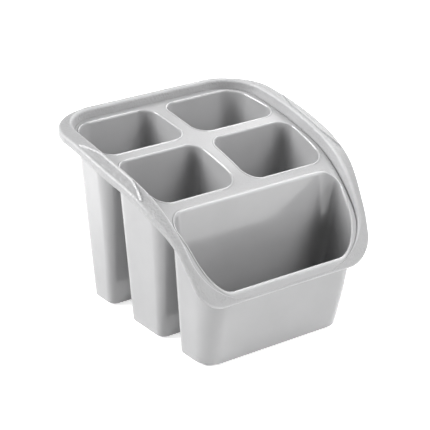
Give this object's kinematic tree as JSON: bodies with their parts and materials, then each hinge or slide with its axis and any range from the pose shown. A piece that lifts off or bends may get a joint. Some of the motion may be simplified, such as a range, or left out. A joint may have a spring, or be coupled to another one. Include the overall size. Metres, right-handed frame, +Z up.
{
  "type": "cutlery drainer",
  "caption": "Free-standing cutlery drainer: tapered pockets with drained floors hang from a curved, sloping deck with a raised rim and leaf-shaped side grips.",
  "frame": {"origin": "on the ground plane, under the centre of the bounding box", "axes": "+Z up, -Y towards the low, wide front pocket, +X to the right seen from the front"},
  "size_m": [0.196, 0.1862, 0.1478],
  "materials": {
    "deck": "injection-moulded polypropylene, satin",
    "rim": "injection-moulded polypropylene, finely stippled",
    "pocket": "injection-moulded polypropylene, semi-gloss",
    "floor": "injection-moulded polypropylene, satin",
    "grip": "injection-moulded polypropylene, ribbed"
  },
  "bodies": {
    "root": {"deck": "deck", "rim": "rim", "cup_back_left": "pocket", "cup_back_right": "pocket", "cup_middle_left": "pocket", "cup_middle_right": "pocket", "cup_front": "pocket", "floor_back_left": "floor", "floor_back_right": "floor", "floor_middle_left": "floor", "floor_middle_right": "floor", "floor_front": "floor", "grip_left": "grip", "grip_right": "grip"}
  },
  "joints": []
}
